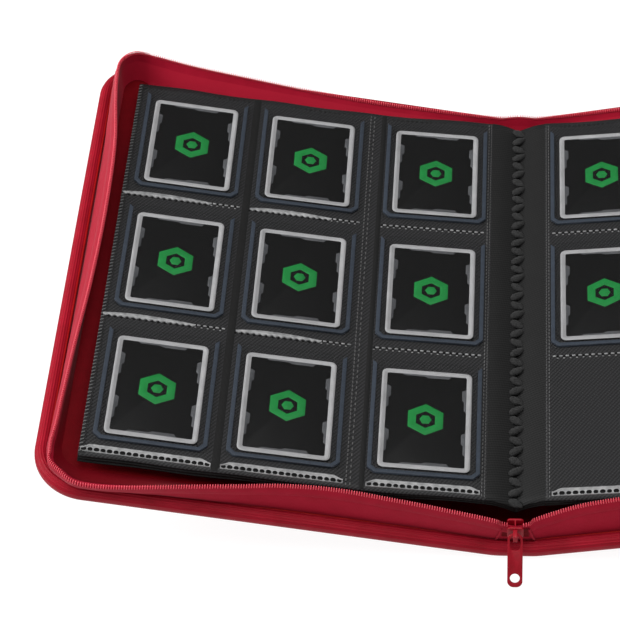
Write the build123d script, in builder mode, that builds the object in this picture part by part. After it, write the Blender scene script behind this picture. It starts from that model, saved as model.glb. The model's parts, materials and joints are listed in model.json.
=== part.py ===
"""Zip-around album for cards in rigid sleeves, lying open in a shallow V.

Millimetres. +X to the right page, +Y to the far end, +Z up. The origin is on the spine's flat
underside, below the middle of the leaves; the case reaches further beyond their far end than
their near end. The right half is drawn, and the left half is its mirror image.
"""
import math
import os

from build123d import *

# Case
COVER_SLOPE = 10.8            # each cover's tilt above the table, degrees
FLAT_HALF_WIDTH = 14.0        # half of the flat that the album stands on, under the spine
COVER_REACH = 331.0           # from the V's vertex to a cover's outer edge, along the slope
CASE_LENGTH = 428.0           # near edge to far edge, along Y
CASE_MIDDLE_Y = 12.0
CORNER_RADIUS = 36.0
SKIN = 1.5                    # outer sheet
BOARD = 2.6                   # stiff board behind it
PANEL_THICKNESS = 12.4        # outer skin to lining, at the padded panel
LINING = 1.0
LAYER_GAP = 0.2
RIM_WIDTH = 3.4
SPINE_THICKNESS = 6.0

# Cover hinge: the crease beside the spine
HINGE_S = 39.0                # along the slope from the V's vertex
HINGE_HEIGHT = 4.0            # above the cover's outer face
CREASE_RADIUS = 2.6
CREASE_CLEARANCE = 0.4
PADDING_START = 51.0          # the thick padding stops short of the crease

# Soft side wall, zip tape and coil
WALL_INSET = 4.3
WALL = 1.2
WALL_START = 44.0
WALL_LOW = 12.9
WALL_TOP = 37.0
TAPE = 0.7
TAPE_LOW = 28.0
COIL_WIDTH = 2.4
COIL_TOP = 40.6
PIPING = 2.2

# Leaves: the line through the middle of the pockets, from the stitched inner edge outwards
LEAF_INNER = (19.6, 41.2)
LEAF_BENDS = ((105.0, 5.6), (200.0, 9.6), (290.7, 10.4))   # reach in X, slope up to there
LEAF_HALF_LENGTH = 186.4
BACKING = 0.6
FILM = 0.4
POCKET_DEPTH = 2.2            # between the top leaf's backing and film, with sleeves inside
EMPTY_DEPTH = 1.0             # the same in the lower leaves
BINDING_GAP = 0.6             # from the stitched line to the leaf's own edge
LOWER_LEAVES = (2, 3)

# What the pockets hold
SLEEVE_WIDTH = 76.2
SLEEVE_LENGTH = 101.6
SLEEVE = 1.9
SLEEVE_SLOT = 0.9
SLEEVE_WELD = 3.0
CARD_WIDTH = 63.0
CARD_LENGTH = 89.0
CARD = 0.5
COLUMN_X = {"inner": 62.2, "middle": 156.5, "outer": 245.2}
ROW_Y = {"upper": 125.3, "centre": 3.6, "lower": -118.1}
SLEEVE_RISE = 1.0             # the sleeve's middle lies this far beyond the card's

# Binding in the gutter
BINDING_HALF_WIDTH = 3.4
BINDING_TOP = 31.4
STRIP_DROP = 1.4              # from the binding's top down to the first gutter strip
LACE_LOW = 34.6
LACE = 1.8
LACE_STROKE = 8.8
LACE_REACH = 3.6
LACE_WIDTH = 2.0
LACE_HALF_LENGTH = 184.8

# Zip slider and pull at the near end of the spine
SLIDER_WIDTH = 11.0
SLIDER_LOW = 24.4
SLIDER_HIGH = 34.4
SLIDER_FRONT_Y = -202.4
SLIDER_PLATE = 1.5
SLIDER_BACK_Y = -195.3
SLIDER_RIB = 0.9
BRIDGE = 1.3
BRIDGE_WIDTH = 3.0
BAR_RADIUS = 1.0
TAB_PIVOT = (-205.2, 31.2)    # Y and Z of the bar that the tab turns on
TAB_LEAN = 56.0               # below level, at rest
TAB_WIDTH = 10.2
TAB = 1.5
TAB_TIP = 36.5                # pivot to tip
TAB_LOOP_WIDTH = 7.0
TAB_LOOP_END = 10.6           # pivot to the end of the loop
TAB_HOLE_RADIUS = 3.3
TAB_HOLE_FROM_TIP = 6.2

VERTEX_DROP = FLAT_HALF_WIDTH * math.tan(math.radians(COVER_SLOPE))
SLOPE_COS = math.cos(math.radians(COVER_SLOPE))
SLOPE_SIN = math.sin(math.radians(COVER_SLOPE))
HALF_LENGTH = CASE_LENGTH / 2
COVER_START = HINGE_S + CREASE_RADIUS + CREASE_CLEARANCE
SPINE_REACH = HINGE_S - CREASE_RADIUS - CREASE_CLEARANCE

# The right cover's own plane: x along the slope, y along the case, z square to the cover
COVER = Plane(
    origin=(0, 0, -VERTEX_DROP),
    x_dir=(SLOPE_COS, 0, SLOPE_SIN),
    z_dir=(-SLOPE_SIN, 0, SLOPE_COS),
)
CASE_MIDDLE = Plane.XZ.offset(-CASE_MIDDLE_Y)

os.makedirs("parts", exist_ok=True)


def keep(piece, label):
    """Name a finished piece and write it."""
    piece.label = label
    export_step(piece, f"parts/{label}.step")


def keep_both(piece, name):
    """Write the right piece, and the left one as its mirror image."""
    keep(piece, f"right_{name}")
    keep(mirror(piece, about=Plane.YZ), f"left_{name}")


def on_cover(reach, height):
    """X and Z of a point on the right cover, from its slope length and height."""
    x = reach * SLOPE_COS - height * SLOPE_SIN
    z = reach * SLOPE_SIN + height * SLOPE_COS - VERTEX_DROP
    return x, z


# ---------------------------------------------------------------- cover panels

def panel_outline(inset, start):
    """A cover's flat outline, pulled in from its three free edges."""
    length = COVER_REACH - inset - start
    with BuildSketch() as outline:
        with Locations((start + length / 2, CASE_MIDDLE_Y)):
            Rectangle(length, CASE_LENGTH - 2 * inset)
        free_corners = outline.vertices().group_by(Axis.X)[-1]
        fillet(free_corners, CORNER_RADIUS - inset)
    return outline.sketch


def cover_layer(inset, start, low, high):
    """One flat layer of the padded cover."""
    with BuildPart() as layer:
        with BuildSketch(COVER.offset(low)):
            add(panel_outline(inset, start))
        extrude(amount=high - low)
    return layer.part


def edge_band(inset, width, start, low, high):
    """A band along the cover's three free edges."""
    with BuildPart() as band:
        with BuildSketch(COVER.offset(low)):
            add(panel_outline(inset, start))
            add(panel_outline(inset + width, start - 1), mode=Mode.SUBTRACT)
        extrude(amount=high - low)
    return band.part


board_low = SKIN + LAYER_GAP
board_high = board_low + BOARD
padding_high = PANEL_THICKNESS - LINING - LAYER_GAP
inside_rim = RIM_WIDTH + LAYER_GAP

keep_both(cover_layer(0, COVER_START, 0, SKIN), "cover_skin")
keep_both(cover_layer(inside_rim, COVER_START, board_low, board_high), "cover_board")
keep_both(
    cover_layer(inside_rim, PADDING_START, board_high + LAYER_GAP, padding_high),
    "cover_padding",
)
keep_both(
    cover_layer(inside_rim, PADDING_START, PANEL_THICKNESS - LINING, PANEL_THICKNESS),
    "cover_lining",
)
keep_both(edge_band(0, RIM_WIDTH, PADDING_START, board_low, PANEL_THICKNESS), "cover_rim")
keep_both(
    edge_band(1.0, PIPING, PADDING_START, PANEL_THICKNESS + LAYER_GAP, PANEL_THICKNESS + PIPING),
    "rim_piping",
)

# ---------------------------------------------------------------- side wall and zip

tape_inset = WALL_INSET + WALL + LAYER_GAP
coil_inset = WALL_INSET + WALL / 2 - COIL_WIDTH / 2
tape_high = WALL_TOP + LAYER_GAP

keep_both(edge_band(WALL_INSET, WALL, WALL_START, WALL_LOW, WALL_TOP), "gusset")
keep_both(edge_band(tape_inset, TAPE, WALL_START, TAPE_LOW, tape_high), "zip_tape")
keep_both(
    edge_band(coil_inset, COIL_WIDTH, WALL_START, tape_high + LAYER_GAP, COIL_TOP),
    "zip_coil",
)

# ---------------------------------------------------------------- spine

def spine_layer(low, high, half_length):
    """A layer of the spine: flat in the middle, sloping up to both creases."""
    under = [(FLAT_HALF_WIDTH, low), on_cover(SPINE_REACH, low)]
    over = [on_cover(SPINE_REACH, high), (FLAT_HALF_WIDTH, high)]
    right_side = under + over
    left_side = [(-x, z) for x, z in reversed(right_side)]
    with BuildPart() as layer:
        with BuildSketch(CASE_MIDDLE):
            with BuildLine():
                Polyline(*right_side, *left_side, close=True)
            make_face()
        extrude(amount=half_length, both=True)
    return layer.part


spine_lining_low = SPINE_THICKNESS - LINING
keep(spine_layer(0, SKIN, HALF_LENGTH), "spine_skin")
keep(
    spine_layer(board_low, spine_lining_low - LAYER_GAP, HALF_LENGTH - inside_rim),
    "spine_padding",
)
keep(
    spine_layer(spine_lining_low, SPINE_THICKNESS, HALF_LENGTH - inside_rim),
    "spine_lining",
)

# Rim blocks that close the spine's two ends, level with the covers' rims
end_rim_reach = 26.0
end_rim_right = [
    (FLAT_HALF_WIDTH, board_low),
    on_cover(end_rim_reach, board_low),
    on_cover(end_rim_reach, PANEL_THICKNESS),
    (FLAT_HALF_WIDTH, PANEL_THICKNESS),
]
end_rim_left = [(-x, z) for x, z in reversed(end_rim_right)]
with BuildPart() as spine_end_rims:
    for outer_y in (-HALF_LENGTH, HALF_LENGTH - RIM_WIDTH):
        with BuildSketch(CASE_MIDDLE.offset(-outer_y)):
            with BuildLine():
                Polyline(*end_rim_right, *end_rim_left, close=True)
            make_face()
        extrude(amount=-RIM_WIDTH)
keep(spine_end_rims.part, "spine_end_rims")

# Creases: rolls of folded skin, one round each cover's hinge axis
hinge_x, hinge_z = on_cover(HINGE_S, HINGE_HEIGHT)
with BuildPart() as crease:
    with BuildSketch(CASE_MIDDLE):
        with Locations((hinge_x, hinge_z)):
            Circle(CREASE_RADIUS)
    extrude(amount=HALF_LENGTH - inside_rim, both=True)
keep_both(crease.part, "hinge_crease")

# End walls of the spine stand just inside the covers' walls, so the covers fold past them
end_wall_y = HALF_LENGTH - WALL_INSET - WALL - TAPE - 2.6
end_wall_reach = 33.0
end_wall_low = SPINE_THICKNESS + LAYER_GAP
notch_half_width = 9.0
notch_top = 22.4
end_wall_right = [
    (notch_half_width, notch_top),
    (notch_half_width, WALL_TOP - 1.0),
    on_cover(end_wall_reach, WALL_TOP),
    on_cover(end_wall_reach, end_wall_low),
    (FLAT_HALF_WIDTH, end_wall_low),
]
end_wall_left = [(-x, z) for x, z in reversed(end_wall_right)]


def end_wall(outer_y):
    """An end wall of the spine; outer_y is its face towards -Y, from the case's middle."""
    with BuildPart() as wall:
        with BuildSketch(CASE_MIDDLE.offset(-outer_y)):
            with BuildLine():
                Polyline(*end_wall_right, *end_wall_left, close=True)
            make_face()
        extrude(amount=-WALL)
    return wall.part


keep(end_wall(-end_wall_y - WALL), "spine_gusset_near")
keep(end_wall(end_wall_y), "spine_gusset_far")

# Coils along the tops of the end walls, either side of the slider and of the end stop
coil_start = (notch_half_width + LAYER_GAP, WALL_TOP - 1.0)
coil_end = on_cover(end_wall_reach, WALL_TOP)
coil_outline = [
    (coil_start[0], coil_start[1] + LAYER_GAP),
    (coil_end[0], coil_end[1] + LAYER_GAP),
    (coil_end[0], coil_end[1] + COIL_WIDTH),
    (coil_start[0], coil_start[1] + COIL_WIDTH),
]
with BuildPart() as spine_zip_coils:
    for centre_y in (-end_wall_y - WALL / 2, end_wall_y + WALL / 2):
        for side in (-1, 1):
            with BuildSketch(CASE_MIDDLE.offset(-centre_y)):
                with BuildLine():
                    Polyline(*[(side * x, z) for x, z in coil_outline], close=True)
                make_face()
            extrude(amount=COIL_WIDTH / 2, both=True)
keep(spine_zip_coils.part, "spine_zip_coils")

# End stop of the zip, clipped over the far end wall's notch
stop_width = 6.0
stop_height = 9.0
with BuildPart() as zip_end_stop:
    with BuildSketch(CASE_MIDDLE.offset(-end_wall_y)):
        with Locations((0, notch_top + LAYER_GAP + stop_height / 2)):
            Rectangle(stop_width, stop_height)
    extrude(amount=-WALL)
    fillet(zip_end_stop.edges().filter_by(Axis.Y), 1.2)
keep(zip_end_stop.part, "zip_end_stop")

# ---------------------------------------------------------------- binding

with BuildPart() as binding_block:
    block_height = BINDING_TOP - SPINE_THICKNESS - LAYER_GAP
    with BuildSketch(Plane.XY.offset(SPINE_THICKNESS + LAYER_GAP)):
        Rectangle(2 * BINDING_HALF_WIDTH, 2 * LEAF_HALF_LENGTH)
    extrude(amount=block_height)
    fillet(binding_block.edges().filter_by(Axis.Y).group_by(Axis.Z)[-1], 1.5)
keep(binding_block.part, "binding_block")

stroke_count = int(2 * LACE_HALF_LENGTH / LACE_STROKE)
stroke_length = math.hypot(2 * LACE_REACH, LACE_STROKE)
stroke_turn = math.degrees(math.atan2(LACE_STROKE, 2 * LACE_REACH))
with BuildPart() as binding_lace:
    with BuildSketch(Plane.XY.offset(LACE_LOW)):
        for stroke in range(stroke_count):
            middle_y = -LACE_HALF_LENGTH + (stroke + 0.5) * LACE_STROKE
            turn = stroke_turn if stroke % 2 else -stroke_turn
            with Locations(Location((0, middle_y, 0), (0, 0, turn))):
                SlotCenterToCenter(stroke_length, LACE_WIDTH)
    extrude(amount=LACE)
keep(binding_lace.part, "binding_lace")

# ---------------------------------------------------------------- leaves

def leaf_line(height):
    """The leaf's profile from its stitched edge outwards, moved up by height."""
    x, z = LEAF_INNER
    points = [(x + BINDING_GAP, z + height)]
    for reach, slope in LEAF_BENDS:
        z += (reach - x) * math.tan(math.radians(slope))
        x = reach
        points.append((x, z + height))
    return points


def leaf_sheet(low, high):
    """One bent sheet over the whole leaf."""
    with BuildPart() as sheet:
        with BuildSketch(Plane.XZ):
            with BuildLine():
                Polyline(*leaf_line(low), *reversed(leaf_line(high)), close=True)
            make_face()
        extrude(amount=LEAF_HALF_LENGTH, both=True)
    return sheet.part


leaf_pitch = BACKING + EMPTY_DEPTH + FILM + LAYER_GAP
backing_high = -POCKET_DEPTH / 2
film_low = POCKET_DEPTH / 2
keep_both(leaf_sheet(backing_high - BACKING, backing_high), "leaf_1_backing")
keep_both(leaf_sheet(film_low, film_low + FILM), "leaf_1_pockets")
for number in LOWER_LEAVES:
    backing_high -= leaf_pitch
    film_low = backing_high + EMPTY_DEPTH
    keep_both(leaf_sheet(backing_high - BACKING, backing_high), f"leaf_{number}_backing")
    keep_both(leaf_sheet(film_low, film_low + FILM), f"leaf_{number}_pockets")

# Gutter strips: the unstiffened cloth from the binding up to each leaf's stitched edge
with BuildPart() as gutter_strips:
    for number in range(3):
        drop = number * leaf_pitch
        strip_start = (BINDING_HALF_WIDTH + LAYER_GAP, BINDING_TOP - STRIP_DROP - drop)
        strip_end = (LEAF_INNER[0] - BINDING_GAP, LEAF_INNER[1] - drop)
        with BuildSketch(Plane.XZ):
            with BuildLine():
                Polyline(
                    strip_start,
                    strip_end,
                    (strip_end[0], strip_end[1] - BACKING),
                    (strip_start[0], strip_start[1] - BACKING),
                    close=True,
                )
            make_face()
        extrude(amount=LEAF_HALF_LENGTH, both=True)
keep_both(gutter_strips.part, "gutter_strips")

# ---------------------------------------------------------------- sleeves and cards

def column_plane(name):
    """The plane through the middle of a column's pockets, centred on the column."""
    x, z = LEAF_INNER
    for reach, slope in LEAF_BENDS:
        angle = math.radians(slope)
        if COLUMN_X[name] < reach:
            centre_z = z + (COLUMN_X[name] - x) * math.tan(angle)
            break
        z += (reach - x) * math.tan(angle)
        x = reach
    return Plane(
        origin=(COLUMN_X[name], 0, centre_z),
        x_dir=(math.cos(angle), 0, math.sin(angle)),
        z_dir=(-math.sin(angle), 0, math.cos(angle)),
    )


def rigid_sleeves(column, rows):
    """Rigid sleeves of one column: a flat box, open at its far end, with a card slot."""
    middle = column_plane(column)
    places = [(0, ROW_Y[row] + SLEEVE_RISE) for row in rows]
    slot_places = [(0, ROW_Y[row] + SLEEVE_RISE + SLEEVE_WELD) for row in rows]
    with BuildPart() as sleeves:
        with BuildSketch(middle.offset(-SLEEVE / 2)):
            with Locations(*places):
                Rectangle(SLEEVE_WIDTH, SLEEVE_LENGTH)
        extrude(amount=SLEEVE)
        with BuildSketch(middle.offset(-SLEEVE_SLOT / 2)):
            with Locations(*slot_places):
                Rectangle(SLEEVE_WIDTH - 2 * SLEEVE_WELD, SLEEVE_LENGTH)
        extrude(amount=SLEEVE_SLOT, mode=Mode.SUBTRACT)
    return sleeves.part


def cards(column, rows):
    """The cards that stand in one column's sleeves."""
    middle = column_plane(column)
    places = [(0, ROW_Y[row]) for row in rows]
    with BuildPart() as column_cards:
        with BuildSketch(middle.offset(-CARD / 2)):
            with Locations(*places):
                RectangleRounded(CARD_WIDTH, CARD_LENGTH, 3.0)
        extrude(amount=CARD)
    return column_cards.part


all_rows = ("upper", "centre", "lower")
filled_rows = ("upper", "centre")
for column in COLUMN_X:
    keep(mirror(rigid_sleeves(column, all_rows), about=Plane.YZ), f"left_{column}_sleeves")
    keep(mirror(cards(column, all_rows), about=Plane.YZ), f"left_{column}_cards")
    keep(rigid_sleeves(column, filled_rows), f"right_{column}_sleeves")
    keep(cards(column, filled_rows), f"right_{column}_cards")

# ---------------------------------------------------------------- slider and pull tab

slider_height = SLIDER_HIGH - SLIDER_LOW
slider_middle_z = (SLIDER_HIGH + SLIDER_LOW) / 2

with BuildPart() as slider_body:
    for face_y in (SLIDER_FRONT_Y, SLIDER_BACK_Y):
        with BuildSketch(Plane.XZ.offset(-face_y)):
            with Locations((0, slider_middle_z)):
                RectangleRounded(SLIDER_WIDTH, slider_height, 2.0)
        extrude(amount=-SLIDER_PLATE)
    with BuildSketch(Plane.XZ.offset(-SLIDER_FRONT_Y - SLIDER_PLATE)):
        with Locations((0, slider_middle_z)):
            Rectangle(SLIDER_RIB, slider_height)
    extrude(amount=SLIDER_FRONT_Y + SLIDER_PLATE - SLIDER_BACK_Y)
keep(slider_body.part, "slider_body")

# Bridge: a strap standing off the slider's front, which holds the pull tab's top bar
bridge_inside = TAB_PIVOT[0] - BAR_RADIUS - 1.8
bridge_low = TAB_PIVOT[1] - BAR_RADIUS - 0.6
with BuildPart() as slider_bridge:
    with BuildSketch(Plane.YZ):
        with BuildLine():
            Polyline(
                (SLIDER_FRONT_Y, SLIDER_HIGH - 0.6),
                (bridge_inside - BRIDGE, SLIDER_HIGH - 0.6),
                (bridge_inside - BRIDGE, bridge_low - BRIDGE),
                (SLIDER_FRONT_Y, bridge_low - BRIDGE),
                (SLIDER_FRONT_Y, bridge_low),
                (bridge_inside, bridge_low),
                (bridge_inside, SLIDER_HIGH - 0.6 - BRIDGE),
                (SLIDER_FRONT_Y, SLIDER_HIGH - 0.6 - BRIDGE),
                close=True,
            )
        make_face()
    extrude(amount=BRIDGE_WIDTH / 2, both=True)
keep(slider_bridge.part, "slider_bridge")

# Pull tab: a loop round the bridge at the top, and a round hole near the tip
lean = math.radians(TAB_LEAN)
tab_plane = Plane(
    origin=(0, TAB_PIVOT[0], TAB_PIVOT[1]),
    x_dir=(1, 0, 0),
    z_dir=(0, math.sin(lean), -math.cos(lean)),
)
with BuildPart() as pull_tab:
    with BuildSketch(tab_plane.offset(-TAB / 2)):
        with Locations((0, (TAB_TIP - BAR_RADIUS) / 2)):
            RectangleRounded(TAB_WIDTH, TAB_TIP + BAR_RADIUS, 4.2)
        with Locations((0, (BAR_RADIUS + TAB_LOOP_END) / 2)):
            RectangleRounded(TAB_LOOP_WIDTH, TAB_LOOP_END - BAR_RADIUS, 2.4, mode=Mode.SUBTRACT)
        with Locations((0, TAB_TIP - TAB_HOLE_FROM_TIP)):
            Circle(TAB_HOLE_RADIUS, mode=Mode.SUBTRACT)
    extrude(amount=TAB)
keep(pull_tab.part, "pull_tab")
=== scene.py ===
"""Looks of an open zip-around card album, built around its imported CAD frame.

Lengths here are in millimetres and are scaled to metres as each mesh is made. A place on a cover is
(s, y, w): s along the cover from the spine's middle, w above its underside. A place on a page is
(x, y, h): x out from the gutter and h above the page's cloth.
"""

import json
import math
import random

import bmesh
import bpy
import numpy as np
from mathutils import Matrix, Vector


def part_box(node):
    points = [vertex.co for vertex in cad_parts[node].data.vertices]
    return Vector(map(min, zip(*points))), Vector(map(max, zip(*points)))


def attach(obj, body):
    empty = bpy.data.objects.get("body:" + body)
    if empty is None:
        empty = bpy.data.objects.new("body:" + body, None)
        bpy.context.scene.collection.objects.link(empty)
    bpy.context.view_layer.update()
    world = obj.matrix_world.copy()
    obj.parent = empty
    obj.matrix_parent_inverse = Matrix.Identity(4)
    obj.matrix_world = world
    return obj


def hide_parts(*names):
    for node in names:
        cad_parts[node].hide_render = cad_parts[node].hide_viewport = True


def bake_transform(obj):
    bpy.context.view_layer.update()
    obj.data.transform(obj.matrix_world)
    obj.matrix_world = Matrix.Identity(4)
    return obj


MM = 0.001
SIDES = {"left": -1, "right": 1}

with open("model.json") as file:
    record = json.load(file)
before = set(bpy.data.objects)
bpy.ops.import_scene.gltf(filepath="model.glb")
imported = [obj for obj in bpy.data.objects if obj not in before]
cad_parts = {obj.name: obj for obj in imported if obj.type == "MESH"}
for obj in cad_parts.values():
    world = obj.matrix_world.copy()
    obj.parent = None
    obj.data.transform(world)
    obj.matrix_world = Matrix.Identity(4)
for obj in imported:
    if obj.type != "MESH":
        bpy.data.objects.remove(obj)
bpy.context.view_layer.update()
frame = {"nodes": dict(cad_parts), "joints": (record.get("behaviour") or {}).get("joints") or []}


def box_mm(node):
    """The lowest and highest corner of a CAD node, in millimetres."""
    low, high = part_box(node)
    return np.array(low) / MM, np.array(high) / MM


def joint(name):
    """A joint's entry in the frame's record."""
    return next(j for j in frame["joints"] if j["name"] == name)


# ---------- the case's sizes, from the frame
SLOPE = math.radians(-joint("right_cover_hinge")["range_deg"][0])  # from the table up to the open cover
SKIN_LOW, SKIN_HIGH = box_mm("right_cover_skin")
REACH = SKIN_HIGH[0] / math.cos(SLOPE)  # the cover's outer edge, from the middle of the spine
HALF_LENGTH = (SKIN_HIGH[1] - SKIN_LOW[1]) / 2
CASE_MIDDLE = (SKIN_HIGH[1] + SKIN_LOW[1]) / 2
CORNER = 36.0  # the radius of the cover's outer corners
FLOOR = 13.4  # the lining's top above the cover's underside
SPINE_FLOOR = 7.0
LINING_LOW = 4.0  # the lining and the case's slit go no lower
BEND_START, BEND_END = 8.0, 20.0  # the flat spine turns into the sloping cover between these
BLEND_START, BLEND_END = 14.0, 62.0  # the span that bend() is given for the fabric that crosses the hinge
GUTTER_FIXED = 3.0  # the start of the span that bend() is given for the gutter's cloth

# ---------- the leaves' sizes, from the frame
LEAF_HIGH = box_mm("right_leaf_1_backing")[1]
LEAF_START, _, LEAF_START_Z = np.array(joint("right_leaf_turn")["pos_m"]) / MM
LEAF_END = LEAF_HIGH[0]
LEAF_HALF = LEAF_HIGH[1]
LEAF_NEAR = -LEAF_HALF + 3.2  # the cloth's near hem, just beyond the pockets' bottom welds
LEAF_SLOPES = ((5.6, 0.0), (4.0, 105.0), (0.8, 200.0))  # degrees added at each bend line
LEAF_PITCH = box_mm("right_leaf_2_backing")[1][2] - box_mm("right_leaf_3_backing")[1][2]
CLOTH_H = -1.0  # the twill's top under the pockets
CLOTH = 0.8  # the twill's thickness, doubled
FOLD_HALF = 4.0  # half the width over which a leaf turns at a bend line


def middle_of(node):
    low, high = box_mm(node)
    return (low[0] + high[0]) / 2


# Each column of pockets from its inner to its outer seam.
COLUMNS = {"inner": (24.0, 100.4), "middle": (115.6, 197.2), "outer": (203.6, LEAF_END - 1.0)}
COLUMN_MIDDLE = {c: middle_of(f"right_{c}_sleeves") for c in COLUMNS}
ROW_PITCH = 121.7
SLEEVE_HIGH = box_mm("left_inner_sleeves")[1]
SLEEVE_LENGTH = 101.6
SLEEVE_WIDTH = 76.2
ROWS = [SLEEVE_HIGH[1] - SLEEVE_LENGTH / 2 - ROW_PITCH * i for i in range(3)]
WELD_DROP = 59.6  # from a sleeve's middle down to the weld that closes its pocket
WELDS = [y - WELD_DROP for y in ROWS]
FILLED = {"left": 3, "right": 2}  # rows of each page that hold a sleeve


def smooth(x, low, high):
    """0 before low, 1 after high, and a smooth step between."""
    t = np.clip((np.asarray(x, float) - low) / (high - low), 0, 1)
    return t * t * (3 - 2 * t)


# ---------- where a cover point is: its way along the cover, and its angle and place there
CASE_S = np.linspace(0, REACH + 40, 1600)
CASE_ANGLE = SLOPE * smooth(CASE_S, BEND_START, BEND_END)
CASE_STEP = CASE_S[1] - CASE_S[0]
CASE_X = np.concatenate([[0], np.cumsum(np.cos(CASE_ANGLE[:-1]) * CASE_STEP)])
CASE_Z = np.concatenate([[0], np.cumsum(np.sin(CASE_ANGLE[:-1]) * CASE_STEP)])


def on_case(side, s, y, w):
    """The point s out along a cover's underside, at y, and w above it."""
    s, y, w = np.broadcast_arrays(*(np.asarray(v, float) for v in (s, y, w)))
    angle = np.interp(s, CASE_S, CASE_ANGLE)
    x = np.interp(s, CASE_S, CASE_X) - w * np.sin(angle)
    z = np.interp(s, CASE_S, CASE_Z) + w * np.cos(angle)
    return np.stack([side * x, y, z], -1)


def outline(t, inset):
    """(s, y) at t mm round the cover's edge, from the near end of the spine, inset from that edge."""
    t, inset = np.broadcast_arrays(np.asarray(t, float), np.asarray(inset, float))
    far = t > EDGE_LENGTH / 2
    t = np.where(far, EDGE_LENGTH - t, t)
    corner_at = np.maximum(inset, CORNER)
    radius = np.maximum(CORNER - inset, 0)
    straight = t / EDGE_ALONG * (REACH - corner_at)
    turn = np.clip((t - EDGE_ALONG) / CORNER, 0, math.pi / 2)
    down_side = (t - EDGE_ALONG - EDGE_CORNER) / EDGE_SIDE
    s = np.where(t < EDGE_ALONG, straight, REACH - corner_at + radius * np.sin(turn))
    y = -(HALF_LENGTH - corner_at) - radius * np.cos(turn)
    y = np.where(down_side > 0, -(HALF_LENGTH - corner_at) * (1 - 2 * down_side), y)
    return s, CASE_MIDDLE + np.where(far, -y, y)


EDGE_ALONG = REACH - CORNER
EDGE_CORNER = CORNER * math.pi / 2
EDGE_SIDE = 2 * (HALF_LENGTH - CORNER)
EDGE_LENGTH = 2 * (EDGE_ALONG + EDGE_CORNER) + EDGE_SIDE


def edge_stations():
    """Places round the cover's edge, closer together where it bends or turns."""
    spine = np.arange(0, 24, 1.2)
    hinge = np.arange(24, 72, 3)
    along = np.linspace(72, EDGE_ALONG, 52)
    corner = np.linspace(EDGE_ALONG, EDGE_ALONG + EDGE_CORNER, 22)[1:]
    side = np.linspace(EDGE_ALONG + EDGE_CORNER, EDGE_LENGTH / 2, 36)[1:]
    half = np.concatenate([spine, hinge, along, corner, side])
    return np.concatenate([half, EDGE_LENGTH - half[-2::-1]])


# ---------- where a page point is: how far out it is, and its angle and height there
LEAF_X = np.linspace(LEAF_START, LEAF_END + 10, 1200)
LEAF_ANGLE = sum(
    math.radians(a) * (smooth(LEAF_X, at - FOLD_HALF, at + FOLD_HALF) if at else 1.0) for a, at in LEAF_SLOPES
)
LEAF_Z = LEAF_START_Z + np.concatenate([[0], np.cumsum(np.tan(LEAF_ANGLE[:-1]) * (LEAF_X[1] - LEAF_X[0]))])


def on_leaf(side, level=0):
    """A function that puts (x, y, h) on a page of that side: level 0 is the top leaf."""

    def place(x, y, h):
        x, y, h = np.broadcast_arrays(*(np.asarray(v, float) for v in (x, y, h)))
        h = h - LEAF_PITCH * level * (0.95 + 0.4 * smooth(x, 40, LEAF_END))
        angle = np.interp(x, LEAF_X, LEAF_ANGLE)
        z = np.interp(x, LEAF_X, LEAF_Z) + h * np.cos(angle)
        return np.stack([side * (x - h * np.sin(angle)), y, z], -1)

    return place


# ---------- meshes
def added(name, data):
    """A new object in the scene."""
    obj = bpy.data.objects.new(name, data)
    bpy.context.scene.collection.objects.link(obj)
    return obj


class Shape:
    """Collects vertices and faces in millimetres, then makes one mesh object of them."""

    def __init__(self, name, side=1):
        self.name, self.side = name, side
        self.points, self.faces, self.count = [], [], 0

    def add(self, points, faces):
        points = np.asarray(points, float).reshape(-1, 3)
        self.points.append(points)
        self.faces += [tuple(i + self.count for i in f) for f in faces]
        self.count += len(points)

    def grid(self, points, closed_u=False, closed_v=False):
        """Quads over points[u, v]. closed_u and closed_v join the last row or column to the first."""
        nu, nv = points.shape[:2]
        faces = []
        for i in range(nu if closed_u else nu - 1):
            for j in range(nv if closed_v else nv - 1):
                a, b = i * nv + j, i * nv + (j + 1) % nv
                c, d = (i + 1) % nu * nv + (j + 1) % nv, (i + 1) % nu * nv + j
                faces.append((a, b, c, d))
        self.add(points, faces)

    def pad(self, place, outline_xy, low, high, bevel):
        """A flat piece with that outline, its top edge rounded off by bevel."""
        xy = np.asarray(outline_xy, float)
        middle = xy.mean(0)
        size = np.maximum(np.abs(xy - middle).max(0), 1e-6)
        inner = middle + (xy - middle) * (1 - np.minimum(bevel / size, 0.6))
        rings = [(xy, low), (xy, high - bevel * 0.7), ((xy + inner) / 2, high - bevel * 0.2), (inner, high)]
        self.grid(np.stack([place(*ring.T, h) for ring, h in rings]), closed_v=True)
        self.faces.append(tuple(range(self.count - len(xy), self.count)))

    def band(self, place, outer, inner, profile, closed=True):
        """A raised band between two outlines. profile is (share from outer to inner, height) pairs."""
        outer, inner = np.asarray(outer, float), np.asarray(inner, float)
        rows = [place(*(outer + (inner - outer) * t).T, h) for t, h in profile]
        self.grid(np.stack(rows, 1), closed_u=closed)

    def make(self, material, turn=False):
        """The mesh object, its faces turned over on the left side, or on the right if turn is set."""
        flip = (self.side < 0) != turn
        faces = [f[::-1] for f in self.faces] if flip else self.faces
        mesh = bpy.data.meshes.new(self.name)
        mesh.from_pydata(np.concatenate(self.points) * MM, [], faces)
        mesh.materials.append(material)
        mesh.polygons.foreach_set("use_smooth", [True] * len(mesh.polygons))
        mesh.update()
        return added(self.name, mesh)


def reworked(obj, operation):
    """The object after an operation on its mesh."""
    work = bmesh.new()
    work.from_mesh(obj.data)
    operation(work)
    work.to_mesh(obj.data)
    work.free()
    return obj


def join_seams(obj):
    """Joins points that lie on one another, as where a cover's flat meets its swept edge."""
    return reworked(obj, lambda work: bmesh.ops.remove_doubles(work, verts=work.verts, dist=0.01 * MM))


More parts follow.
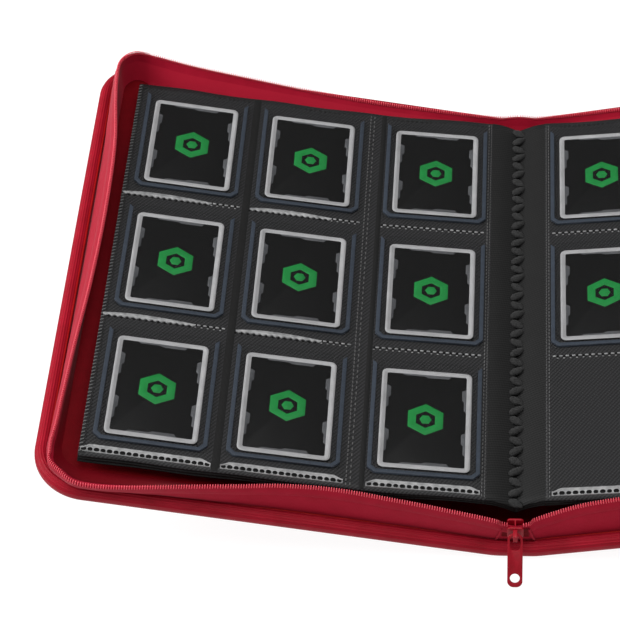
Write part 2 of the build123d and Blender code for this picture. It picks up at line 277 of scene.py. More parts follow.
def face_outward(obj):
    """Turns every face of a closed shape outward."""
    return reworked(obj, lambda work: bmesh.ops.recalc_face_normals(work, faces=work.faces))


def put_uv(obj, places):
    """Gives the mesh a u and v, in metres, for each of its points."""
    layer = obj.data.uv_layers.new(name="weave")
    loops = np.zeros(len(obj.data.loops), int)
    obj.data.loops.foreach_get("vertex_index", loops)
    layer.data.foreach_set("uv", places[loops].ravel())
    return obj


def plan_uv(obj):
    """Lays u and v along a cover's width and length."""
    places = np.zeros(3 * len(obj.data.vertices))
    obj.data.vertices.foreach_get("co", places)
    return put_uv(obj, places.reshape(-1, 3)[:, :2])


def set_uv(obj, points):
    """Lays a grid's u and v along its real lengths, so that a weave keeps its pitch."""
    along = np.linalg.norm(np.diff(points, axis=0), axis=2).mean(1)
    across = np.linalg.norm(np.diff(points, axis=1), axis=2).mean(0)
    u = np.concatenate([[0], np.cumsum(along)]) * MM
    v = np.concatenate([[0], np.cumsum(across)]) * MM
    uu, vv = np.meshgrid(u, v, indexing="ij")
    return put_uv(obj, np.stack([uu.ravel(), vv.ravel()], 1))


def woven(name, side, points, material, turn=True, closed=False):
    """A grid of cloth with its weave laid along it. closed joins its last column to its first."""
    shape = Shape(name, side)
    shape.grid(points, closed_v=closed)
    return set_uv(shape.make(material, turn), points)


def rounded(cx, cy, width, length, radius, n=5):
    """A rounded rectangle's outline, anticlockwise."""
    out = []
    for k, (sx, sy) in enumerate(((1, -1), (1, 1), (-1, 1), (-1, -1))):
        for i in range(n):
            a = math.pi / 2 * (k - 1 + i / (n - 1))
            out.append((cx + sx * (width / 2 - radius) + radius * math.cos(a),
                        cy + sy * (length / 2 - radius) + radius * math.sin(a)))
    return out


def around(count):
    """Angles evenly round a circle."""
    return np.linspace(0, 2 * math.pi, count + 1)[:-1]


def turned(xy, cx, cy, degrees):
    """An outline about the origin, turned and moved to (cx, cy)."""
    a = math.radians(degrees)
    xy = np.asarray(xy, float)
    return np.stack([cx + xy[:, 0] * math.cos(a) - xy[:, 1] * math.sin(a),
                     cy + xy[:, 0] * math.sin(a) + xy[:, 1] * math.cos(a)], 1)


# ---------- materials
class Look:
    """A Principled material with small helpers for its procedural detail."""

    def __init__(self, name, rough=0.5, sheen=0.0, coat=0.0, alpha=1.0, specular=0.5):
        self.material = bpy.data.materials.new(name)
        self.material.use_nodes = True
        self.tree = self.material.node_tree
        self.shader = self.tree.nodes["Principled BSDF"]
        self.set("Roughness", rough)
        self.set("Sheen Weight", sheen)
        self.set("Sheen Roughness", 0.4)
        self.set("Coat Weight", coat)
        self.set("Coat Roughness", 0.2)
        self.set("Specular IOR Level", specular)
        self.set("Alpha", alpha)

    def set(self, socket, value):
        self.shader.inputs[socket].default_value = value

    def node(self, kind, **values):
        """A new node, with those values in its inputs or its settings."""
        made = self.tree.nodes.new(kind)
        for key, value in values.items():
            if key in made.inputs:
                made.inputs[key].default_value = value
            else:
                setattr(made, key, value)
        return made

    def link(self, a, b):
        self.tree.links.new(a, b)

    def place(self, turn=0.0, use_uv=False):
        coords = self.node("ShaderNodeTexCoord")
        mapping = self.node("ShaderNodeMapping", Rotation=(0, 0, math.radians(turn)))
        self.link(coords.outputs["UV" if use_uv else "Object"], mapping.inputs["Vector"])
        return mapping.outputs["Vector"]

    def bands(self, pitch, turn=0.0, use_uv=False, distortion=0.0, direction="X"):
        scale = math.pi / (10 * pitch * MM)
        wave = self.node("ShaderNodeTexWave", bands_direction=direction, Scale=scale, Distortion=distortion,
                         Detail=1.0, **{"Detail Scale": 2.0})
        self.link(self.place(turn, use_uv), wave.inputs["Vector"])
        return wave.outputs["Fac"]

    def grain(self, size, detail=3.0):
        noise = self.node("ShaderNodeTexNoise", Scale=1 / (size * MM), Detail=detail)
        self.link(self.place(), noise.inputs["Vector"])
        return noise.outputs["Fac"]

    def pebbles(self, size):
        cells = self.node("ShaderNodeTexVoronoi", Scale=1 / (size * MM))
        self.link(self.place(), cells.inputs["Vector"])
        return cells.outputs["Distance"]

    def math(self, kind, a, b):
        step = self.node("ShaderNodeMath", operation=kind)
        for socket, value in zip(step.inputs, (a, b)):
            if isinstance(value, (int, float)):
                socket.default_value = value
            else:
                self.link(value, socket)
        return step.outputs[0]

    def blend(self, a, b, share):
        """a and b added up, with that share of b."""
        return self.math("ADD", self.math("MULTIPLY", a, 1 - share), self.math("MULTIPLY", b, share))

    def colour(self, fac, dark, light, low=0.2, high=0.8):
        ramp = self.node("ShaderNodeValToRGB")
        ramp.color_ramp.elements[0].position = low
        ramp.color_ramp.elements[1].position = high
        ramp.color_ramp.elements[0].color = linear(dark)
        ramp.color_ramp.elements[1].color = linear(light)
        self.link(fac, ramp.inputs["Fac"])
        self.link(ramp.outputs["Color"], self.shader.inputs["Base Color"])

    def roughness(self, fac, low, high):
        spread = self.node("ShaderNodeMapRange", **{"To Min": low, "To Max": high})
        self.link(fac, spread.inputs["Value"])
        self.link(spread.outputs["Result"], self.shader.inputs["Roughness"])

    def bump(self, height, depth, strength=0.6):
        before = self.shader.inputs["Normal"].links
        bump = self.node("ShaderNodeBump", Strength=strength, Distance=depth * MM)
        if before:
            self.link(before[0].from_socket, bump.inputs["Normal"])
        self.link(height, bump.inputs["Height"])
        self.link(bump.outputs["Normal"], self.shader.inputs["Normal"])

    def sheen_tint(self, rgb):
        self.set("Sheen Tint", linear(rgb))


def linear(rgb):
    """An sRGB colour written as 0 to 255, as the linear values that a shader takes."""
    parts = [c / 255 for c in rgb]
    return (*[c / 12.92 if c <= 0.04045 else ((c + 0.055) / 1.055) ** 2.4 for c in parts], 1.0)


def leather(name, dark, light, grain_size=0.9):
    look = Look(name, rough=0.5, specular=0.1, sheen=0.08)
    look.sheen_tint((255, 150, 155))
    look.colour(look.grain(14, 4), dark, light)
    look.bump(look.pebbles(grain_size), 0.10, 0.5)
    look.bump(look.grain(0.35, 3), 0.05, 0.4)
    look.roughness(look.grain(6, 3), 0.42, 0.6)
    return look.material


def weave(name, dark, light, pitch, sheen=0.14, tint=(255, 175, 180), painted_shade_span=None):
    """Plain cloth. Its optional span is two places in y, in mm, between which a painted shade goes from dark
    to light.
    """
    look = Look(name, rough=0.6, sheen=sheen, specular=0.06)
    look.sheen_tint(tint)
    warp = look.bands(pitch, use_uv=True)
    weft = look.bands(pitch, use_uv=True, direction="Y")
    threads = look.math("MULTIPLY", warp, weft)
    shade = look.blend(threads, look.grain(9, 4), 0.65)
    # painted shade: the colour is pulled from dark to light along the object's y, over the span
    if painted_shade_span:
        ends = {"From Min": painted_shade_span[0] * MM, "From Max": painted_shade_span[1] * MM}
        spread = look.node("ShaderNodeMapRange", interpolation_type="SMOOTHSTEP", **ends)
        parts = look.node("ShaderNodeSeparateXYZ")
        look.link(look.place(), parts.inputs["Vector"])
        look.link(parts.outputs["Y"], spread.inputs["Value"])
        shade = look.blend(shade, spread.outputs["Result"], 0.85)
    look.colour(shade, dark, light)
    look.bump(threads, 0.06, 0.6)
    look.bump(look.grain(7, 2), 0.35, 0.35)
    look.roughness(look.grain(3, 3), 0.55, 0.75)
    return look.material


def twill(name, dark, light, pitch=2.0, turn=38.0, gloss=(0.42, 0.6)):
    look = Look(name, rough=0.5, specular=0.18)
    ribs = look.bands(pitch, turn=turn, distortion=0.35)
    cross = look.bands(pitch * 0.9, turn=turn + 90, distortion=0.6)
    threads = look.blend(ribs, cross, 0.28)
    look.colour(threads, dark, light, 0.15, 0.9)
    look.bump(threads, 0.16, 0.8)
    look.bump(look.grain(30, 2), 0.8, 0.3)
    look.roughness(look.grain(8, 3), *gloss)
    return look.material


def plastic(name, dark, light, rough, alpha=1.0, streak=2.0, depth=0.03, specular=0.4):
    """Film, card, nylon or thread: streak is the size of its soft unevenness in mm."""
    look = Look(name, rough=rough[0], alpha=alpha, specular=specular)
    look.colour(look.grain(streak, 3), dark, light)
    look.bump(look.grain(streak, 2), depth, 0.4)
    look.roughness(look.grain(streak * 1.7, 2), *rough)
    return look.material


def painted_metal(name, dark, light):
    look = Look(name, rough=0.4, coat=0.04, specular=0.16)
    look.colour(look.grain(5, 3), dark, light)
    look.bump(look.grain(0.5, 2), 0.02, 0.3)
    look.roughness(look.grain(1.5, 3), 0.28, 0.45)
    return look.material


SKIN = leather("case_leather", (120, 6, 22), (138, 10, 31))
LINING = weave("lining_cloth", (82, 0, 6), (96, 1, 10), 0.8, sheen=0.02, tint=(200, 40, 40))
PIPING = leather("piping_leather", (128, 6, 7), (146, 10, 10), 0.6)
GUSSET = weave("gusset_cloth", (132, 10, 31), (149, 16, 40), 1.1)
# painted shade: a sheet over the gusset's inner face, dark at the near end and as light as the gusset toward
# the far wall
WALL_PAINTED_SHADE = weave("wall_painted_shade_cloth", (86, 0, 9), (148, 20, 40), 0.9, sheen=0.05, painted_shade_span=(120, 200))
TAPE = weave("zip_tape_cloth", (132, 10, 31), (149, 16, 40), 0.9)
COIL = plastic("zip_coil_nylon", (184, 44, 60), (210, 78, 92), (0.3, 0.45), streak=0.8)
METAL = painted_metal("slider_paint", (118, 2, 17), (134, 5, 25))
TWILL = twill("page_twill", (11, 11, 12), (37, 37, 38), 2.2)
# painted shade: a darker copy of the page twill for the lower leaves and their gutter folds, under the top
# leaf
TWILL_SHADE = twill("lower_page_twill_painted_shade", (4, 4, 4), (15, 15, 15), 2.2)
# painted shade: the gutter twill is coloured darker than the page twill it continues, for the shade in the
# fold over the spine
GUTTER = twill("gutter_twill_painted_shade", (5, 5, 5), (26, 26, 26), 2.0, 76.0, (0.55, 0.75))
STRIP = twill("page_strip", (4, 4, 4), (16, 16, 16), 0.9, 0.0, (0.5, 0.7))
LACE = Look("lace_wool", rough=0.9, sheen=0.25, specular=0.1)
LACE.sheen_tint((130, 130, 130))
LACE.colour(LACE.grain(0.7, 4), (6, 6, 6), (54, 54, 54))
LACE.bump(LACE.grain(0.45, 4), 0.5, 0.9)
LACE.roughness(LACE.grain(1.2, 2), 0.8, 0.98)
LACE = LACE.material
FILM = plastic("pocket_film_clear", (10, 10, 11), (18, 18, 20), (0.28, 0.4), 0.035, 18, 0.3, 0.3)
# painted highlight: the welds are real, their light silver colour stands in for the film's glare
WELD_PAINTED_HIGHLIGHT = plastic("pocket_weld_painted_glare", (74, 75, 76), (140, 140, 140), (0.25, 0.4), streak=5.0, depth=0.2)
WELD_DARK = plastic("pocket_weld_dark", (3, 3, 3), (9, 9, 9), (0.4, 0.55), streak=1.2, specular=0.08)
THREAD = plastic("page_stitch", (50, 50, 50), (78, 78, 78), (0.4, 0.55), streak=0.8, depth=0.08)
# dark stitches, and painted shade beside the hem's stitches
DARK_THREAD_AND_SHADE = plastic("page_dark_stitch_and_painted_shade", (6, 6, 6), (22, 22, 22), (0.4, 0.6), 1.0, 0.8, 0.08, 0.2)
SLEEVE = plastic("sleeve_clear", (14, 15, 17), (22, 24, 27), (0.12, 0.2), 0.04, 25, specular=0.25)
SLEEVE_WELD = plastic("sleeve_weld", (37, 42, 50), (46, 53, 62), (0.4, 0.55), streak=3, specular=0.15)
CARD = plastic("card_face", (8, 8, 8), (12, 12, 12), (0.5, 0.62), streak=6, specular=0.1)
CARD_RING = plastic("card_silver_ring", (128, 128, 129), (146, 146, 147), (0.4, 0.5), 1.0, 12, specular=0.25)
CARD_GREY = plastic("card_grey_print", (62, 63, 65), (74, 75, 77), (0.5, 0.62), streak=4.0, specular=0.12)
CARD_GREEN = plastic("card_green_print", (12, 99, 42), (18, 112, 50), (0.5, 0.62), streak=5, specular=0.18)


def fix(obj, body):
    """The piece rides on one body."""
    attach(obj, body)


def bend(obj, side_name, between=(BLEND_START, BLEND_END)):
    """Bakes the piece's placement into its mesh; it is not tied to the spine, the cover or its leaves."""
    start, end = ((SIDES[side_name] * x * MM, 0, 0) for x in between)
    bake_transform(obj)
    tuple(start)
    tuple(end)


# ---------- the padded case
RIM_WIDE, RIM_HIGH = 5.0, 6.3  # half sizes of the rounded rim
RIM_RIDGES, RIDGE = 5, 0.38  # ridges round the rim's outer side, and their height
RIDGE_START, RIDGE_SHARE = 0.36, 0.36  # where on the bead the ridges start, and how much they take
BEAD_TURN = 278  # degrees that the bead turns, from the underside round to the slit
SLIT_INSET = 10.4
PIPING_AT, PIPING_RADIUS = (8.5, 10.8), 0.8
LINING_EDGE = ((10.2, 7.5), (10.9, 3.0), (12.4, 0.7), (15, 0), (20, 0), (28, 0), (CORNER, 0))  # (inset, drop)
STATIONS = edge_stations()


def rim_profile():
    """(inset, height) of the case's section, from its flat underside round the rim to the slit."""
    flat = [(d, 0.0) for d in (CORNER, 24, 14, 8)]
    bead = []
    for share in np.linspace(0, 1, 48):
        a = math.radians(-90 - BEAD_TURN * share)
        wave = math.sin(2 * math.pi * RIM_RIDGES * (share - RIDGE_START) / RIDGE_SHARE)
        ridge = RIDGE * wave if RIDGE_START < share < RIDGE_START + RIDGE_SHARE else 0
        inset = RIM_WIDE + (RIM_WIDE + ridge) * math.cos(a)
        bead.append((inset, RIM_HIGH + (RIM_HIGH + ridge) * math.sin(a)))
    return flat + bead + [(SLIT_INSET, LINING_LOW)]


def sweep(side, section):
    """Points [station, section point] of (inset, height) pairs swept round a cover's edge."""
    columns = []
    for inset, height in section:
        s, y = outline(STATIONS, inset)
        columns.append(on_case(side, s, y, height))
    return np.stack(columns, 1)


def floor_at(s):
    """The lining's height: lower over the spine, so that the covers can close."""
    return SPINE_FLOOR + (FLOOR - SPINE_FLOOR) * smooth(s, 34, 50)


def inner_grid(side, height, facing_up):
    """Points over the flat of a cover inside its rounded edge, in line with the edge's own stations."""
    beyond_corner = EDGE_ALONG + EDGE_CORNER - 0.01
    s = STATIONS[STATIONS < EDGE_ALONG + 0.01]
    down_side = STATIONS[(STATIONS > beyond_corner) & (STATIONS < EDGE_LENGTH - beyond_corner)]
    y = outline(down_side, CORNER)[1]
    ss, yy = np.meshgrid(s, y if facing_up else y[::-1], indexing="ij")
    return on_case(side, ss, yy, height(ss))


def build_case(name, side):
    shape = Shape(f"{name}_padded_case", side)
    shape.grid(sweep(side, rim_profile()))
    shape.grid(inner_grid(side, np.zeros_like, False))
    case = join_seams(shape.make(SKIN, turn=True))
    bend(case, name)

    edge = [(d, np.maximum(floor_at(outline(STATIONS, d)[0]) - drop, LINING_LOW)) for d, drop in LINING_EDGE]
    shape = Shape(f"{name}_case_lining", side)
    shape.grid(sweep(side, edge))
    shape.grid(inner_grid(side, floor_at, True))
    lining = plan_uv(join_seams(shape.make(LINING, turn=True)))
    bend(lining, name)

    inset, height = PIPING_AT
    ring = [(inset + PIPING_RADIUS * math.cos(a), height + PIPING_RADIUS * math.sin(a)) for a in around(10)]
    shape = Shape(f"{name}_rim_piping_cord", side)
    shape.grid(sweep(side, ring), closed_v=True)
    piping = shape.make(PIPING)
    bend(piping, name)


# ---------- the gusset wall with its zip
NEAR_CORNER = EDGE_ALONG + EDGE_CORNER / 2
FAR_CORNER = EDGE_LENGTH - NEAR_CORNER
NEAR_SIDE = EDGE_ALONG + EDGE_CORNER
# Each wall's lip round the edge, as (how far round, inset from the edge, height). It stands beside
# the pages, falls outward at the near corner, and leans in along the outer side and the far edge.
NEAR_LIP = {
    "left": (
        (0, 4.6, 29.6), (8, 4.4, 32.0), (18, 4.0, 34.6), (42, 5.0, 36.6), (87, 7.0, 38.6), (132, 9.3, 38.4),
        (166, 8.0, 36.4), (190, 5.4, 34.0), (222, 2.1, 30.8), (252, 0.2, 26.0), (272, -0.9, 22.8),
        (288, -1.6, 21.6),
    ),
    "right": (
        (0, 4.6, 29.6), (8, 5.4, 30.6), (18, 7.2, 32.6), (28, 8.6, 34.6), (41, 9.2, 38.0), (54, 9.6, 40.6),
        (67, 10.0, 41.6), (85, 10.4, 42.4), (120, 10.6, 40.0), (160, 9.0, 36.8), (200, 6.0, 34.0),
        (245, 1.5, 28.0), (288, -1.0, 22.5),
    ),
}
SIDE_LIP = (
    (EDGE_ALONG + 7, -0.2, 21.2), (EDGE_ALONG + 18, 3.4, 21.0), (NEAR_CORNER + 6, 5.2, 21.0),
    (NEAR_SIDE - 18, 7.6, 21.2), (NEAR_SIDE + 6, 11.6, 21.9), (NEAR_SIDE + 31, 12.9, 23.8),
    (NEAR_SIDE + 79, 15.3, 27.6), (NEAR_SIDE + 137, 19.0, 31.0), (NEAR_SIDE + 210, 20.8, 33.8),
    (NEAR_SIDE + 278, 19.0, 36.0), (NEAR_SIDE + 321, 14.2, 36.7), (NEAR_SIDE + 350, 12.0, 37.4),
    (FAR_CORNER + 8, 14.6, 38.2), (EDGE_LENGTH - 310, 15.4, 37.6), (EDGE_LENGTH - 289, 16.6, 35.4),
    (EDGE_LENGTH - 263, 18.4, 33.0), (EDGE_LENGTH - 217, 19.6, 29.8), (EDGE_LENGTH - 178, 20.4, 27.4),
    (EDGE_LENGTH - 120, 21.0, 24.8), (EDGE_LENGTH - 76, 20.8, 25.2), (EDGE_LENGTH - 37, 21.6, 27.0),
    (EDGE_LENGTH - 14, 21.8, 29.0), (EDGE_LENGTH, 21.8, 30.4),
)
LIP = {side: near + SIDE_LIP for side, near in NEAR_LIP.items()}
WALL_OUTER = (9.9, 6.5)  # where the wall's outer skin leaves the slit
WALL_INNER_INSET = 17.5
FAR_COVE = 15.0  # how much further in the far wall's inner side comes down to the lining
WALL_ROWS = 12  # up each face of the wall
SHADE_SHEET_TOP = 4  # the wall's painted-shade sheet starts this many rows below the lip
SHADE_SHEET_OFF = 0.35
LIP_HALF = 0.7
LIP_ROUND = 0.5  # the lip's crown above its sides
WALL_BELLY = 1.6  # how far the wall's outer face bulges
TAPE_BAND = (
    (7.2, 0.05), (6.9, 0.25), (3.0, 0.3), (0.4, 0.3), (-0.5, 0.15),
    (-0.5, -0.15), (0.4, -0.3), (3.0, -0.3), (6.9, -0.25), (7.2, 0.0),
)  # (below the lip, out from the wall)
TOOTH_PITCH, TOOTH_HALF, TOOTH_HIGH, TOOTH_WIRE = 1.7, 0.95, 2.0, 0.36
SLIDER_GAP = 5.5  # the coil starts here, beside the slider


def through(name, stations, column):
    """A smooth curve through the values of that side's lip."""
    at = np.array([row[0] for row in LIP[name]], float)
    value = np.array([row[column] for row in LIP[name]], float)
    gap = np.diff(at)
    rise = np.diff(value) / gap
    slope = np.concatenate([[0], (rise[:-1] + rise[1:]) / 2, [0]])
    i = np.clip(np.searchsorted(at, stations, side="right") - 1, 0, len(gap) - 1)
    t = (stations - at[i]) / gap[i]
    h0, h1 = 2 * t**3 - 3 * t**2 + 1, t**3 - 2 * t**2 + t
    h2, h3 = -2 * t**3 + 3 * t**2, t**3 - t**2
    return h0 * value[i] + h1 * gap[i] * slope[i] + h2 * value[i + 1] + h3 * gap[i] * slope[i + 1]


def wall_section(name):
    """[(inset, height) arrays] up the wall's outer face, over the lip and down its inner face."""
    lip_d, lip_w = through(name, STATIONS, 1), through(name, STATIONS, 2)
    ripple = 0.35 * np.sin(STATIONS / 9.0) + 0.25 * np.sin(STATIONS / 4.3 + 1.3)
    inner_w = floor_at(np.minimum(STATIONS, EDGE_LENGTH - STATIONS)) + 0.3
    inner_d = WALL_INNER_INSET + FAR_COVE * smooth(STATIONS, FAR_CORNER, FAR_CORNER + 60)
    outer, inner = [], []
    for t in np.linspace(0, 1, WALL_ROWS):
        belly = math.sin(math.pi * t)
        d = WALL_OUTER[0] + (lip_d + -LIP_HALF - WALL_OUTER[0]) * t - belly * (WALL_BELLY - 0.4 * ripple)
        outer.append((d, WALL_OUTER[1] + (lip_w - WALL_OUTER[1]) * t))
        d = inner_d + (lip_d + LIP_HALF - inner_d) * t ** 0.8 + belly * 0.3 * ripple
        inner.append((d, inner_w + (lip_w - inner_w) * t))
    return outer + [(lip_d, lip_w + LIP_ROUND)] + inner[::-1]


def build_gusset(name, side):
    section = wall_section(name)
    wall = woven(f"{name}_gusset_wall", side, sweep(side, section), GUSSET)
    bend(wall, name)

    # the sheet that carries the painted shade, laid just off the wall's inner face below the lip
    rows = [(d + SHADE_SHEET_OFF, w + SHADE_SHEET_OFF) for d, w in section[WALL_ROWS + SHADE_SHEET_TOP:]]
    lining = woven(f"{name}_wall_painted_shade_sheet", side, sweep(side, rows), WALL_PAINTED_SHADE)
    bend(lining, name)

    lip_d, lip_w = through(name, STATIONS, 1), through(name, STATIONS, 2)
    band = []
    for drop, out in TAPE_BAND:
        t = 1 - drop / np.maximum(lip_w - WALL_OUTER[1], 10)
        d = WALL_OUTER[0] + (lip_d - WALL_OUTER[0]) * t
        lean = np.where(out > 0, -WALL_BELLY * np.sin(math.pi * np.clip(t, 0, 1)) - LIP_HALF, LIP_HALF)
        band.append((d + lean - out, WALL_OUTER[1] + (lip_w - WALL_OUTER[1]) * t))
    tape = woven(f"{name}_zip_tape_band", side, sweep(side, band), TAPE, closed=True)
    bend(tape, name)

    shape = Shape(f"{name}_zip_coil_teeth", side)
    for at in np.arange(SLIDER_GAP, EDGE_LENGTH - 1.0, TOOTH_PITCH):
        coil_tooth(shape, name, side, at)
    coil = face_outward(shape.make(COIL))
    bend(coil, name)


GARAGE_LOW, GARAGE_HIGH = 11.0, 29.0  # the feet of the folds, and the top of the tuck and the folds
TUCK_LOW, TUCK_HALF, TUCK_TAPER = 19.0, 9.4, 1.4
FOLD_OUT, FOLD_TAPER, FOLD_FAT = 13.5, 4.6, 0.75


def garage_point(x, z, out):
    """A point on the near wall's outer face beside the slider, standing out from it."""
    lip_d, lip_w = NEAR_LIP["left"][0][1:]
    t = (z - WALL_OUTER[1]) / (lip_w - WALL_OUTER[1])
    inset = WALL_OUTER[0] + (lip_d - LIP_HALF - WALL_OUTER[0]) * t - WALL_BELLY * math.sin(math.pi * t)
    return x, CASE_MIDDLE - HALF_LENGTH + inset - out, z


def build_zip_garage():
    """The tuck of cloth behind the slider, dark with painted shade, and the two folds that run down from it.
    """
    tuck = Shape("slider_tuck_painted_shade")
    rows = []
    for t in np.linspace(0, 1, 10):
        z = TUCK_LOW + (GARAGE_HIGH - TUCK_LOW) * t
        half = TUCK_HALF - TUCK_TAPER * t
        rows.append([garage_point(half * u, z, 0.5 - 0.3 * u * u) for u in np.linspace(-1, 1, 15)])
    tuck.grid(np.array(rows))
    # painted shade: the tuck takes the dark lining cloth
    cloth = tuck.make(LINING)
    folds = Shape("slider_folds")
    for sx in (-1, 1):
        ring = []
        for t in np.linspace(0, 1, 16):
            z = GARAGE_LOW + (GARAGE_HIGH - GARAGE_LOW) * t
            x, y, z = garage_point(sx * (FOLD_OUT - FOLD_TAPER * t), z, 0.1)
            fat = FOLD_FAT * math.sin(math.pi * min(0.5, 0.08 + t)) + 0.1
            ring.append([(x + fat * math.cos(a), y + fat * math.sin(a), z) for a in around(8)])
        folds.grid(np.array(ring), closed_v=True)
    ridge = folds.make(GUSSET)
    for obj in (cloth, ridge):
        fix(face_outward(obj), "spine")


def coil_tooth(shape, name, side, at):
    """One turn of the coil: an arch of wire across the lip."""
    lip_d, lip_w = (float(through(name, np.array([at]), column)[0]) for column in (1, 2))
    ring = []
    for a in np.linspace(-0.15, math.pi + 0.15, 8):
        row = []
        for b in around(6):
            out = TOOTH_WIRE * math.cos(b)
            s, y = outline(at + TOOTH_WIRE * math.sin(b), lip_d + (TOOTH_HALF + out) * math.cos(a))
            row.append(on_case(side, s, y, lip_w + LIP_ROUND + (TOOTH_HIGH + out) * math.sin(a)))
        ring.append(row)
    shape.grid(np.array(ring), closed_v=True)


# ---------- pages
def page_cloth(name, side, level, body):
    """The twill of a page, doubled at its hems."""
    place = on_leaf(side, level)
    rng = random.Random(f"{name}{level}")
    xs = np.linspace(LEAF_START, LEAF_END, 90)
    ys = np.linspace(LEAF_NEAR, LEAF_HALF, 70)
    sag = 0.35 * np.sin(xs / 23)[:, None] * np.sin(ys / 31)[None, :]
    edge = (smooth(ys, LEAF_HALF - 10, LEAF_HALF) + smooth(-ys, -LEAF_NEAR - 10, -LEAF_NEAR))[None, :]
    wave = edge * 0.5 * np.sin(xs / 11 + rng.uniform(0, 6))[:, None]
    x, y = np.meshgrid(xs, ys, indexing="ij")
    top = place(x, y, CLOTH_H + 0.25 * sag + wave)
    under = place(x, y, CLOTH_H - CLOTH + wave)
    sheet = np.concatenate([top, under[:, ::-1]], 1)
    shape = Shape(f"{name}_leaf_{level + 1}_twill", side)
    shape.grid(sheet, closed_v=True)
    for row in (0, -1):
        points = sheet[row]
        n = len(ys)
        faces = [(j, 2 * n - 1 - j, 2 * n - 2 - j, j + 1) for j in range(n - 1)]
        shape.add(points, faces if row == 0 else [f[::-1] for f in faces])
    # the lower leaves take the darker twill, painted shade
    cloth = shape.make(TWILL_SHADE if level else TWILL, turn=True)
    fix(cloth, body)


STRIPS = (
    (COLUMNS["inner"][1] + 1.1, COLUMNS["inner"][1] + 4.6),
    (COLUMNS["middle"][1] + 0.4, COLUMNS["outer"][0] - 0.6),
)


def page_strips(name, side, body):
    """The bare dark strips between the top page's columns."""
    place = on_leaf(side)
    shape = Shape(f"{name}_leaf_1_strips", side)
    for low, high in STRIPS:
        xs, ys = np.linspace(low, high, 7), np.linspace(LEAF_NEAR + 1, LEAF_HALF - 1, 60)
        x, y = np.meshgrid(xs, ys, indexing="ij")
        crown = 0.3 * np.sin(math.pi * (x - low) / (high - low))
        shape.grid(place(x, y, CLOTH_H + 0.12 + crown + 0.05 * np.sin(y / 4.0)))
    strips = shape.make(STRIP, turn=True)
    fix(strips, body)


MOUTH = 3.0  # from a pocket's open top up to the next weld
FILM_EDGE, FILM_FOOT = 3.6, 9.0  # how far the film takes to rise from its side seams and its weld
LIFT_OVER_SLEEVE, LIFT_EMPTY = 2.35, 0.45
FILM_LOOSE = 0.16


def page_film(name, side, level, body, filled):
    """The clear fronts of the nine pockets, drawn over the sleeves that they hold."""
    place = on_leaf(side, level)
    shape = Shape(f"{name}_leaf_{level + 1}_film", side)
    for low, high in COLUMNS.values():
        for row, weld in enumerate(WELDS):
            top = weld + ROW_PITCH - MOUTH
            xs, ys = np.linspace(low, high, 26), np.linspace(weld, top, 34)
            x, y = np.meshgrid(xs, ys, indexing="ij")
            near = np.minimum(np.minimum(x - low, high - x) / FILM_EDGE, (y - weld) / FILM_FOOT)
            lift = LIFT_OVER_SLEEVE if row < filled else LIFT_EMPTY
            loose = FILM_LOOSE * np.sin(x / 9 + row) * np.sin(y / 13 + low)
            shape.grid(place(x, y, CLOTH_H + 0.1 + (lift + loose) * smooth(near, 0, 1)))
    film = shape.make(FILM, turn=True)
    fix(film, body)


STITCH = rounded(0, 0, 2.3, 0.8, 0.39, 3)
THIN_STITCH = rounded(0, 0, 2.0, 0.55, 0.26, 3)
LOOP_STITCH = rounded(0, 0, 2.9, 0.9, 0.42, 3)
BLOT = rounded(0, 0, 2.5, 1.8, 0.7, 3)  # painted shade beside a stitch, and the dark stitch dots along the page's top edge
COLUMN_STITCHES = (
    (COLUMNS["inner"][0] - 1.4, 3.4), (COLUMNS["middle"][0] - 2.2, 3.6), (COLUMNS["middle"][0] - 5.0, 5.0),
)  # (x, pitch)


def stitch_line(shape, place, start, end, pitch, degrees=0.0, piece=STITCH, high=0.5):
    """Stitches from start to end, each turned from the line by degrees."""
    start, end = np.array(start, float), np.array(end, float)
    count = int(np.linalg.norm(end - start) / pitch)
    along = math.degrees(math.atan2(*(end - start)[::-1]))
    for i in range(count):
        x, y = start + (end - start) * (i + 0.5) / count
        shape.pad(place, turned(piece, x, y, along + degrees), CLOTH_H - 0.1, CLOTH_H + high, 0.3)


def page_stitches(name, side, level, body):
    place = on_leaf(side, level)
    light = Shape(f"{name}_leaf_{level + 1}_stitches", side)
    dark = Shape(f"{name}_leaf_{level + 1}_stitch_gaps", side)
    bottom, top = LEAF_NEAR + 2, LEAF_HALF - 1.5
    for x, pitch in COLUMN_STITCHES:
        stitch_line(light, place, (x, bottom), (x, top), pitch)
    x = LEAF_END - 1.3
    stitch_line(light, place, (x, bottom), (x, top), 3.2, 62, LOOP_STITCH, 0.9)
    # painted shade: dark blots beside the hem's loop stitches
    stitch_line(dark, place, (x - 1.9, bottom), (x - 1.9, top), 3.2, 20, BLOT, 0.2)
    for low, high in COLUMNS.values():
        stitch_line(dark, place, (low + 2, top - 2.4), (high - 2, top - 2.4), 3.6, 0, BLOT, 0.25)
    x = LEAF_START + 1.2
    stitch_line(light, place, (x, bottom), (x, top), 2.6, 0, THIN_STITCH, 0.35)
    fix(light.make(THREAD), body)
    fix(dark.make(DARK_THREAD_AND_SHADE), body)


WELD_PITCH = 4.4
WELD_LOW, WELD_HIGH = -2.8, 3.4  # the bottom weld's edges beside the weld line
# The bottom weld's section: (share of the way up it, height), with a rolled upper edge.
WELD_SECTION = (
    (0, -0.2), (0.02, 0.9), (0.08, 0.7), (0.55, 0.6), (0.68, 1.2), (0.8, 1.6), (0.92, 1.4), (1, -0.2),
)
CELLS = ((3.3, 3.1), (3.7, 3.4))  # the sizes of the dark cells, by turns
CELL_DROP = 0.95
WEDGE_SECTION = ((0, -0.2), (0.05, 0.8), (0.5, 0.7), (0.9, 1.1), (1, 0.0))
WEDGE_SHARE = 0.75  # how much of a row's weld is a wedge of painted highlight, from the page's outer end


